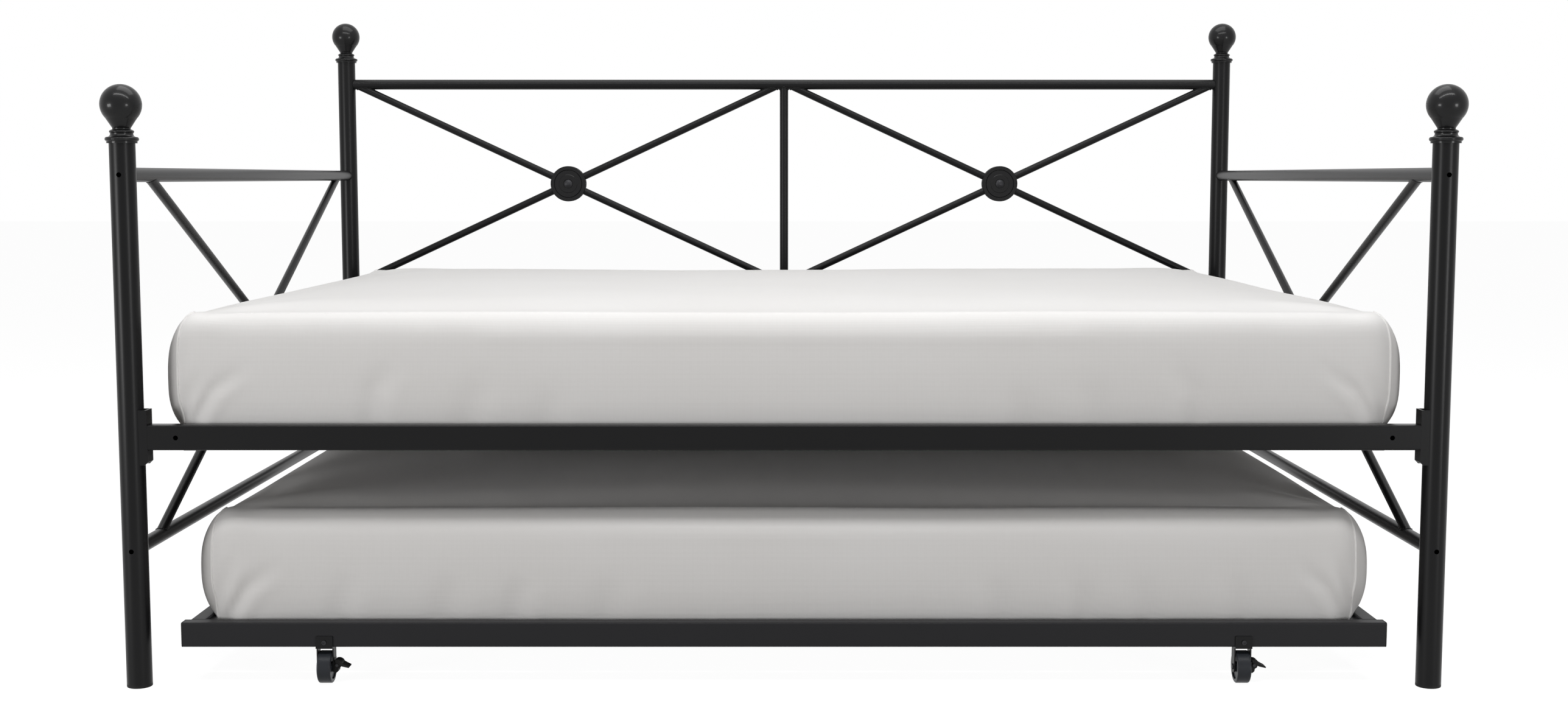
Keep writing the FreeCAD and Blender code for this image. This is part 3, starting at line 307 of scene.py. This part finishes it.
def bend_point(point, half, lower_edge):
    """Where a point of the box lies once all the edges are rounded."""
    x, y, z = point
    core = Vector((half[0] - PLAN_CORNER, half[1] - PLAN_CORNER))
    past = Vector((max(0, abs(x) - core.x), max(0, abs(y) - core.y)))
    if past.length == 0:
        return point
    outward = past.normalized()
    inset = min(half[0] - abs(x), half[1] - abs(y))
    endness = outward.x ** 2          # 0 along the front and back, 1 at the two ends
    if z > 0:
        across, down = [f + (e - f) * endness for f, e in zip(FRONT_EDGE, END_EDGE)]
        inset, drop = edge_bend(across, down, inset, half[2] - z)
        z = half[2] - drop
    else:
        across = TUCKED + (min(lower_edge, PLAN_CORNER) - TUCKED) * endness
        inset, drop = edge_bend(across, lower_edge, inset, half[2] + z)
        z = drop - half[2]
    reach = outward * (PLAN_CORNER - inset)
    x = math.copysign(min(abs(x), core.x) + reach.x, x)
    y = math.copysign(min(abs(y), core.y) + reach.y, y)
    return [x, y, z]


def mattress_form(name, low, high, lower_edge, cell):
    """The mattress as a mesh object, filling the box between two corners."""
    middle = (low + high) / 2
    half = (high - low) / 2
    points, faces = grid_box(half, cell)
    mesh = bpy.data.meshes.new(name)
    mesh.from_pydata([Vector(bend_point(p, half, lower_edge)) + middle for p in points], [], faces)
    mesh.update()
    piece = bpy.data.objects.new(name, mesh)
    scene.collection.objects.link(piece)
    return piece


# %% [markdown]
# ## Filling the cover
# Foam pushes a fitted sheet out between its edges, so the walls belly and the top crowns. The form
# could be swollen by hand alone. Here a short cloth simulation makes a start: the cover is blown up
# from inside for twenty frames with no gravity, while the deck holds its underside. At this
# pressure the loose cloth balloons by up to a third of a metre, which no tight sheet does, so each
# point is kept within a small cap. Most points reach the cap. The fullness therefore comes from the
# cap, and from the crown and belly added further down, more than from the simulation. The foam
# inside can't be pushed in, so the part of a move that goes inward is taken away.

# %% Blow the cover up
CELL = 16 * MM
START_SMALLER = 5 * MM                # front and back start this far in, and swell out again
SWELL_CAP = 11 * MM
SETTLE_FRAMES = 20
HELD = 12 * MM                        # the lowest part of the cover, which the deck holds still


def swell(piece):
    """Run the cloth simulation, cap how far each point has moved, and apply the result."""
    mesh = piece.data
    rest = np.array([v.co for v in mesh.vertices])
    floor = rest[:, 2].min()
    held = piece.vertex_groups.new(name="held")
    held.add([i for i, p in enumerate(rest) if p[2] < floor + HELD], 1.0, "REPLACE")
    cloth = piece.modifiers.new("swell", "CLOTH")
    settings = cloth.settings
    settings.quality = 5
    settings.mass = 0.3
    settings.tension_stiffness = 15
    settings.compression_stiffness = 15
    settings.bending_stiffness = 0.5
    settings.use_pressure = True
    settings.uniform_pressure_force = 4
    settings.shrink_min = -0.01
    settings.effector_weights.gravity = 0
    settings.vertex_group_mass = "held"
    cloth.point_cache.frame_end = SETTLE_FRAMES
    for number in range(1, SETTLE_FRAMES + 1):
        scene.frame_set(number)
    solved = piece.evaluated_get(bpy.context.evaluated_depsgraph_get()).data
    moved = np.array([v.co for v in solved.vertices]) - rest
    outward = np.array([v.normal for v in mesh.vertices])
    inward = np.minimum(0, (moved * outward).sum(axis=1, keepdims=True))
    moved -= outward * inward
    far = np.linalg.norm(moved, axis=1, keepdims=True)
    moved *= np.minimum(1, SWELL_CAP / np.maximum(far, 1e-9))
    piece.modifiers.remove(cloth)
    piece.vertex_groups.clear()
    mesh.vertices.foreach_set("co", (rest + moved).ravel())
    mesh.update()
    scene.frame_set(1)
    most = round(float(far.max()) / MM, 1)
    print(piece.name, "swelled by up to", most, "mm, capped at", SWELL_CAP / MM)


# %% Smooth it
def subdivide(piece):
    """Apply one level of smooth subdivision."""
    smooth = piece.modifiers.new("smooth", "SUBSURF")
    smooth.levels = 1
    solved = piece.evaluated_get(bpy.context.evaluated_depsgraph_get())
    finer = bpy.data.meshes.new_from_object(solved)
    piece.modifiers.remove(smooth)
    piece.data = finer
    for face in finer.polygons:
        face.use_smooth = True


# %% [markdown]
# ## Creases and the soft top
# A tight sheet is pulled down at the corners, and slack gathers there in a few soft folds: a hollow
# with a low ridge beside it, deep near the hem and gone by mid height. Further along the folds are
# wide and shallow, and elsewhere there is only a lazy waviness. A bump in the material would be
# quicker, but these are moves of the points themselves, so they are in the mesh as well as in the
# picture. Each fold is a short path over the front, given as how far it is from the end of the
# mattress and how high above its underside.

# %% Folds by moving points
TOP_CROWN = 5 * MM
BELLY = 6 * MM
WAVINESS = 2.2 * MM
WAVE_LENGTH = 0.42
RESTING = 4 * MM                      # the lowest part, which lies on the slats and isn't moved
FACING = 0.2                          # folds are only where the wall faces front or back this much
STRETCHES = (0.85, 1.25)              # how much each corner's folds differ in spacing
DEPTHS = (0.7, 1.0)                   # and in depth
PAST_END = 0.35                       # strength just past either end of a fold's path
PAST_END_REACH = 8 * MM


def fold_depth(distance, width):
    """Shape of a fold across its path: a hollow, and a low ridge on the far side."""
    hollow = math.exp(-(distance / width) ** 2)
    ridge = math.exp(-((distance - 2 * width) / width) ** 2)
    return 0.5 * ridge - hollow


def path_offset(path, s, h):
    """Signed distance of a point from a fold's path, and the fold's strength there."""
    nearest, strength = 1e9, 0.0
    runs = len(path) - 1
    for number, ((s0, h0), (s1, h1)) in enumerate(zip(path, path[1:])):
        run = Vector((s1 - s0, h1 - h0))
        way = Vector((s - s0, h - h0))
        along = way.dot(run) / run.length_squared
        on_run = min(1, max(0, along))
        off = (way - run * on_run).length
        if off >= abs(nearest):
            continue
        nearest = off if run.cross(way) < 0 else -off
        if (number == 0 and along < 0) or (number == runs - 1 and along > 1):
            strength = PAST_END * math.exp(-off / PAST_END_REACH)
        else:
            strength = 1 - ((number + on_run) / runs) ** 2
    return nearest, strength


# %% Move the points of a cover
def shape_cover(piece, low, high, folds, seed):
    """Crown, belly and waviness all over, and the folds at both ends of the front and the back."""
    mesh = piece.data
    half = (high - low) / 2
    middle = (low + high) / 2
    chance = random.Random(seed)
    corners = {}
    for end in (-1, 1):
        for face in (-1, 1):
            as_given = face < 0 and end < 0
            stretch = 1 if as_given else chance.uniform(*STRETCHES)
            depth = 1 if as_given else chance.uniform(*DEPTHS)
            corners[end, face] = (stretch, depth)
    normals = [v.normal.copy() for v in mesh.vertices]
    for vertex, normal in zip(mesh.vertices, normals):
        point = vertex.co.copy()
        where = point - middle
        height = point.z - low.z
        if height < RESTING:
            continue
        wave = noise.noise(Vector((where.x / WAVE_LENGTH, where.y / WAVE_LENGTH,
                                   height * 3 + seed)))
        move = normal * wave * WAVINESS
        flat = max(0, 1 - (where.x / half.x) ** 4) * max(0, 1 - (where.y / half.y) ** 4)
        if normal.z > 0:
            move.z += TOP_CROWN * flat * normal.z
        level = (height - half.z) / half.z
        move += Vector((normal.x, normal.y, 0)) * BELLY * (1 - level ** 2)
        sideways = abs(normal.y)
        if sideways > FACING:
            stretch, depth = corners[1 if where.x > 0 else -1, 1 if where.y > 0 else -1]
            s = (half.x - abs(where.x)) / stretch
            for path, width, deep in folds:
                off, strength = path_offset(path, s, height)
                if abs(off) < 4 * width:
                    move += normal * fold_depth(off, width) * deep * depth * strength * sideways
        vertex.co = point + move
    mesh.update()


# %% [markdown]
# ## The corner seams
# A fitted sheet is sewn at each corner with a dart, and its seam stands up as a thin cord of
# doubled cloth from the hem to where the top begins. A line drawn in the colour would vanish from
# the side, so the seam is a real round cord. Rays shot at the corner find the cloth, and the cord
# follows it.

# %% Seams that follow the cloth
SEAM_RADIUS = 2.2 * MM
SEAM_TURN = math.radians(57)          # round the corner from the end towards the front or back
SEAM_FOOT = 0.05                      # where it starts, as a share of the mattress's height
SEAM_CLIMB = 0.5                      # how far up the wall it goes straight, as such a share
SEAM_WALL = 0.62                      # share of its steps that it spends on the wall
SEAM_LEAN = math.radians(74)          # how far it has leant over the top at its end
RAY_START = 0.4
SEAM_STEPS = 44
SEAM_SIDES = 8


def sweep(name, path, radius, sides, closed=False):
    """A round cord along a path as a mesh. The radius is a number or a function of the step."""
    mesh = bpy.data.meshes.new(name)
    points, faces = [], []
    count = len(path)
    for i, here in enumerate(path):
        ahead = path[(i + 1) % count] if closed or i < count - 1 else here
        behind = path[i - 1] if closed or i > 0 else here
        along = (ahead - behind).normalized()
        across = along.orthogonal() if i == 0 else across - along * across.dot(along)
        across.normalize()
        other = along.cross(across)
        size = radius(i) if callable(radius) else radius
        for k in range(sides):
            turn = FULL_TURN * k / sides
            points.append(here + (across * math.cos(turn) + other * math.sin(turn)) * size)
    rings = count if closed else count - 1
    for i in range(rings):
        for k in range(sides):
            a, b = i * sides, (i + 1) % count * sides
            faces.append([a + k, a + (k + 1) % sides, b + (k + 1) % sides, b + k])
    if not closed:
        faces.append(list(range(sides))[::-1])
        faces.append([(count - 1) * sides + k for k in range(sides)])
    mesh.from_pydata(points, [], faces)
    for face in mesh.polygons:
        face.use_smooth = True
    return mesh


def join_meshes(name, meshes, material):
    """One object that holds several meshes as separate shells."""
    whole = bmesh.new()
    for mesh in meshes:
        whole.from_mesh(mesh)
        bpy.data.meshes.remove(mesh)
    bmesh.ops.recalc_face_normals(whole, faces=whole.faces)
    mesh = bpy.data.meshes.new(name)
    whole.to_mesh(mesh)
    whole.free()
    mesh.materials.append(material)
    piece = bpy.data.objects.new(name, mesh)
    scene.collection.objects.link(piece)
    return piece


# %% Find the seams' paths
def seam_path(cloth, core, outward, low, high):
    """Points on the cloth, up the wall of one corner and over its top edge."""
    path = []
    for i in range(SEAM_STEPS):
        share = i / (SEAM_STEPS - 1)
        lean = max(0, (share - SEAM_WALL) / (1 - SEAM_WALL)) * SEAM_LEAN
        rise = SEAM_FOOT + SEAM_CLIMB * min(1, share / SEAM_WALL)
        target = core + Vector((0, 0, low.z + (high.z - low.z) * rise))
        way = outward * math.cos(lean) + Vector((0, 0, math.sin(lean)))
        hit = cloth.ray_cast(target + way * RAY_START, -way)[0]
        if hit is not None:
            path.append(hit)
    return path


def corner_seams(name, piece, low, high):
    """The four corner seams of one cover."""
    cloth = BVHTree.FromObject(piece, bpy.context.evaluated_depsgraph_get())
    cords = []
    for end in (-1, 1):
        for face in (-1, 1):
            x = high.x if end > 0 else low.x
            y = high.y if face > 0 else low.y
            core = Vector((x - end * PLAN_CORNER, y - face * PLAN_CORNER, 0))
            outward = Vector((end * math.cos(SEAM_TURN), face * math.sin(SEAM_TURN), 0))
            path = seam_path(cloth, core, outward, low, high)
            cords.append(sweep("cord", path, SEAM_RADIUS, SEAM_SIDES))
    return join_meshes(name, cords, percale)


# %% [markdown]
# ## The two mattresses
# The same steps make both: form, fill, subdivide, fold, sew. Only the sizes and the folds differ.
# Each stands in the space that its plain solid held in the frame, so nothing it rests on moves. A
# fold is given as its path, its width and its depth.

# %% The folds of each
def in_mm(*pairs):
    """A path given in millimetres, in metres."""
    return [(s * MM, h * MM) for s, h in pairs]


UPPER_FOLDS = (
    (in_mm((26, 20), (40, 62), (66, 112)), 8 * MM, 5.4 * MM),
    (in_mm((44, 20), (78, 76), (130, 114)), 9 * MM, 4.8 * MM),
    (in_mm((316, 20), (322, 74), (352, 122)), 15 * MM, 3.8 * MM),
    (in_mm((462, 20), (470, 60), (488, 98)), 20 * MM, 2.7 * MM),
    (in_mm((578, 20), (584, 50), (598, 86)), 20 * MM, 2.2 * MM))
LOWER_FOLDS = (
    (in_mm((18, 20), (46, 82), (62, 128)), 9 * MM, 5.4 * MM),
    (in_mm((44, 20), (80, 74), (126, 112)), 10 * MM, 4.8 * MM),
    (in_mm((218, 20), (226, 60), (240, 104)), 17 * MM, 2.9 * MM),
    (in_mm((380, 20), (388, 60), (402, 100)), 20 * MM, 2.6 * MM),
    (in_mm((490, 20), (496, 60), (508, 96)), 16 * MM, 3.2 * MM),
    (in_mm((632, 20), (636, 60), (646, 98)), 20 * MM, 2.4 * MM))

print("folds at each corner:", len(UPPER_FOLDS), "and", len(LOWER_FOLDS))

# %% Make both mattresses
UPPER_RISE = -5 * MM                  # how far the long top edges lie above the plain solid
LOWER_RISE = 7 * MM
UPPER_TUCK = 64 * MM                  # height of the rounded lower edge
LOWER_TUCK = 84 * MM


def make_mattress(name, node, body, tuck, rise, folds, seed):
    """One finished cover with its seams, in place of a plain solid."""
    low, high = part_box(node)
    small = Vector((0, START_SMALLER, 0))
    raised = Vector((0, 0, rise))
    piece = mattress_form(name, low + small, high - small + raised, tuck, CELL)
    swell(piece)
    subdivide(piece)
    shape_cover(piece, low, high, folds, seed)
    piece.data.materials.append(percale)
    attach(piece, body)
    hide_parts(node)
    seams = corner_seams(name + "_seams", piece, low, high)
    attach(seams, body)
    print(name, "has", len(piece.data.vertices), "points")


make_mattress("upper_mattress_cover", "mattress", "daybed",
              UPPER_TUCK, UPPER_RISE, UPPER_FOLDS, seed=3)
make_mattress("trundle_mattress_cover", "trundle_mattress", "trundle",
              LOWER_TUCK, LOWER_RISE, LOWER_FOLDS, seed=8)

# %% [markdown]
# ## Weld beads
# Each brace is welded to the rail it meets, and the weld leaves a small rippled bead round the
# joint. A torus would cut through the tubes, because the line where two round tubes meet is a
# saddle. Each bead's path is that line, worked out from the two tubes' axes and radii, and its
# thickness pulses as a hand-laid weld does. The powder coat runs over the beads, so they wear the
# same finish. Where a post is in the way, the bead stops at it.

# %% Beads round the joints
BEAD_RADIUS = 1.5 * MM
BEAD_RIPPLE = 0.35 * MM
BEAD_STEPS = 48
BEAD_SIDES = 6
RIPPLE_TURN = 14 * FULL_TURN / BEAD_STEPS      # 14 ripples in one turn round a brace
OPEN_RIPPLE_TURN = 1.75                        # for a bead that stops at a post
FEWEST_POINTS = 5


def saddle(foot, along_brace, brace_radius, along_rail, rail_radius):
    """The line where a brace meets a rail, round the brace. The foot is on the rail's axis."""
    across = along_brace.orthogonal().normalized()
    other = along_brace.cross(across)
    path = []
    for i in range(BEAD_STEPS):
        turn = FULL_TURN * i / BEAD_STEPS
        start = (across * math.cos(turn) + other * math.sin(turn)) * brace_radius
        flat_start = start - along_rail * start.dot(along_rail)
        flat_way = along_brace - along_rail * along_brace.dot(along_rail)
        a = flat_way.length_squared
        b = 2 * flat_start.dot(flat_way)
        c = flat_start.length_squared - rail_radius ** 2
        reach = (-b + math.sqrt(max(0, b * b - 4 * a * c))) / (2 * a)
        path.append(foot + start + along_brace * reach)
    return path


def rippled(turn, phase=0.0):
    """A bead's thickness as a function of the step along it."""
    return lambda step: BEAD_RADIUS + BEAD_RIPPLE * math.sin(turn * step + phase)


def bead(foot, way, brace_radius, along_rail, rail_radius, phase):
    """A closed bead round the joint."""
    path = saddle(foot, way.normalized(), brace_radius, along_rail, rail_radius)
    return sweep("bead", path, rippled(RIPPLE_TURN, phase), BEAD_SIDES, closed=True)


def beyond(path, near, far):
    """The points of a closed path that lie past x = near on the way to x = far, in one run."""
    clear = [(point.x - near) * (far - near) > 0 for point in path]
    start = 0 if all(clear) else clear.index(False)
    marked = list(zip(path, clear))
    return [point for point, is_clear in marked[start:] + marked[:start] if is_clear]


# %% Where the joints are
def centre(node):
    """The middle of a node's box."""
    low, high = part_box(node)
    return (low + high) / 2


def radius_of(node):
    """Half the thickness of a straight round tube: its smallest side."""
    low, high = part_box(node)
    return min(high - low) / 2


ALONG_X, ALONG_Y, ALONG_Z = Vector((1, 0, 0)), Vector((0, 1, 0)), Vector((0, 0, 1))
post_radius = radius_of("post_front_left")
chance = random.Random(5)
print("post radius in mm:", round(post_radius / MM, 2))

# %% Beads on the end frames
for side in ("left", "right"):
    arm, lower = centre("arm_rail_" + side), centre("lower_end_rail_" + side)
    rail_radius = radius_of("arm_rail_" + side)
    brace_low, brace_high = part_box("end_braces_" + side)
    brace_radius = (brace_high.x - brace_low.x) / 2
    front_y, back_y = brace_low.y, brace_high.y
    lean = math.atan2(arm.z - lower.z, back_y - front_y)
    inset = brace_radius / math.sin(lean) - rail_radius / math.tan(lean)
    beads = []
    for rail, other in ((arm, lower), (lower, arm)):
        for near, far in ((front_y + inset, back_y - inset), (back_y - inset, front_y + inset)):
            foot = Vector((rail.x, near, rail.z))
            way = Vector((0, far - near, other.z - rail.z))
            beads.append(bead(foot, way, brace_radius, ALONG_Y, rail_radius, chance.random()))
    piece = join_meshes("end_weld_beads_" + side, beads, frame_steel)
    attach(piece, "daybed")
print("end frame beads made: 8")

# %% Beads on the back panel
top, bottom, bar = centre("back_top_rail"), centre("back_bottom_rail"), centre("back_centre_bar")
rail_radius = radius_of("back_top_rail")
bar_radius = radius_of("back_centre_bar")
beads = []
for rail, way in ((top, -ALONG_Z), (bottom, ALONG_Z)):
    foot = Vector((bar.x, rail.y, rail.z))
    beads.append(bead(foot, way, bar_radius, ALONG_X, rail_radius, chance.random()))
for side, sign in (("left", -1), ("right", 1)):
    low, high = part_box("back_braces_" + side)
    inner = bar_radius * sign
    outer = centre("post_back_" + side).x - sign * post_radius
    brace_radius = (high.y - low.y) / 2
    for rail, other in ((top, bottom), (bottom, top)):
        for near, far in ((inner, outer), (outer, inner)):
            foot = Vector((near, rail.y, rail.z))
            way = Vector((far - near, 0, other.z - rail.z))
            path = saddle(foot, way.normalized(), brace_radius, ALONG_X, rail_radius)
            path = beyond(path, near, far)
            if len(path) >= FEWEST_POINTS:
                beads.append(sweep("bead", path, rippled(OPEN_RIPPLE_TURN), BEAD_SIDES))
piece = join_meshes("back_weld_beads", beads, frame_steel)
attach(piece, "daybed")
print("back panel beads made:", len(beads))

# %% [markdown]
# ## The camera
# The camera stands well in front of the bed at the height of a kneeling person and looks down a
# little. A wider lens closer in would swell the near posts, and a longer one would flatten the
# depth of the deck, so a lens of about 43 mm sits between the two.

# %% Camera
LENS, SENSOR = 43.456, 36.0           # millimetres, as Blender's lenses are
CAMERA_PLACE = (0.0, -3.5787, 0.7763)
LOOK_DOWN = math.radians(5.5)

camera_data = bpy.data.cameras.new("camera")
camera_data.lens = LENS
camera_data.sensor_width = SENSOR
camera = bpy.data.objects.new("camera", camera_data)
camera.location = CAMERA_PLACE
camera.rotation_euler = (QUARTER - LOOK_DOWN, 0.0, 0.0)
scene.collection.objects.link(camera)
scene.camera = camera
print("camera", [round(c, 3) for c in camera.location])

# %% [markdown]
# ## The studio
# Black tube and white cotton need quiet light. One large softbox overhead lights everything that
# faces up, and a narrow strip above the front draws a line along the top of each rail. Two more
# stand low, one to each side: they light the walls of the mattresses without spilling onto the
# trundle in the shade of the deck, and put a soft line down each side of every post. The left one
# is the stronger, because creases only show when the light comes more from one side. A sun would be
# quicker to set, but its hard edge would cut across the cotton.

# %% Lights
def panel(name, place, target, width, height, watts):
    """A soft rectangular lamp that faces a point."""
    data = bpy.data.lights.new(name, "AREA")
    data.shape = "RECTANGLE"
    data.size = width
    data.size_y = height
    data.energy = watts
    lamp = bpy.data.objects.new(name, data)
    lamp.location = place
    facing = Vector(target) - Vector(place)
    lamp.rotation_euler = facing.to_track_quat("-Z", "Y").to_euler()
    scene.collection.objects.link(lamp)


LAMPS = (                             # name, place, what it faces, width, height, watts
    ("overhead_softbox", (0.0, 0.1, 3.6), (0.0, 0.1, 0.0), 3.4, 2.0, 69),
    ("overhead_strip", (0.0, -1.9, 2.8), (0.0, -0.6, 0.5), 3.8, 0.25, 44),
    ("front_left_softbox", (-4.0, -3.6, 0.5), (0.0, -0.3, 0.4), 1.5, 0.9, 64),
    ("front_right_softbox", (3.2, -4.2, 0.5), (0.0, -0.3, 0.4), 1.1, 0.9, 42))
for lamp in LAMPS:
    panel(*lamp)
print("lamps made:", len(LAMPS))

# %% [markdown]
# ## White surroundings
# The floor and the sky are white to the camera and to anything shiny, and dim to everything else,
# so the white never turns into extra light on the bed. Brighter lamps would whiten the floor too,
# but they would wash out the cotton. The floor is a steady glow with a little matte paint added:
# the paint loses its share of light under the bed, and that is the shadow.

# %% Sky
AMBIENT = 0.065


def seen_directly(tree):
    """1 for what is seen straight, in a reflection or through glass, and 0 for other light."""
    path = add(tree, "ShaderNodeLightPath")
    seen = path.outputs["Is Camera Ray"]
    for ray in ("Is Glossy Ray", "Is Transmission Ray"):
        seen = add(tree, "ShaderNodeMath", {0: seen, 1: path.outputs[ray]},
                   operation="MAXIMUM").outputs[0]
    return seen


world = bpy.data.worlds.new("studio")
scene.world = world
world.use_nodes = True
tree = world.node_tree
white = add(tree, "ShaderNodeBackground", {"Color": linear("#ffffff"), "Strength": 1.0})
dim = add(tree, "ShaderNodeBackground", {"Color": linear("#ffffff"), "Strength": AMBIENT})
sky = add(tree, "ShaderNodeMixShader",
          {0: seen_directly(tree), 1: dim.outputs[0], 2: white.outputs[0]})
tree.links.new(sky.outputs[0], tree.nodes["World Output"].inputs["Surface"])
print("sky made:", world.name)

# %% Floor
FLOOR_SIZE = 60.0
GLOW = 0.96

floor_material = bpy.data.materials.new("painted_studio_floor")
floor_material.use_nodes = True
tree = floor_material.node_tree
paint = tree.nodes["Principled BSDF"]
paint.inputs["Base Color"].default_value = linear("#605a54")
paint.inputs["Roughness"].default_value = 0.9
glow = add(tree, "ShaderNodeEmission", {"Color": linear("#ffffff"), "Strength": GLOW})
matte = add(tree, "ShaderNodeBsdfDiffuse", {"Color": linear("#848484")})
pale = add(tree, "ShaderNodeAddShader", {0: glow.outputs[0], 1: matte.outputs[0]})
surface = add(tree, "ShaderNodeMixShader",
              {0: seen_directly(tree), 1: paint.outputs[0], 2: pale.outputs[0]})
tree.links.new(surface.outputs[0], tree.nodes["Material Output"].inputs["Surface"])

floor_mesh = bpy.data.meshes.new("studio_floor")
shape = bmesh.new()
bmesh.ops.create_grid(shape, x_segments=8, y_segments=8, size=FLOOR_SIZE / 2)
shape.to_mesh(floor_mesh)
shape.free()
floor_mesh.materials.append(floor_material)
floor = bpy.data.objects.new("studio_floor", floor_mesh)
scene.collection.objects.link(floor)
floor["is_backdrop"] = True
print("floor", FLOOR_SIZE, "m across")

# %% [markdown]
# ## Finish
# The picture keeps the plain Standard transform, so a colour renders as it is written.

# %% Measure the sizes and finish
scene.view_settings.view_transform = "Standard"
low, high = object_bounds()
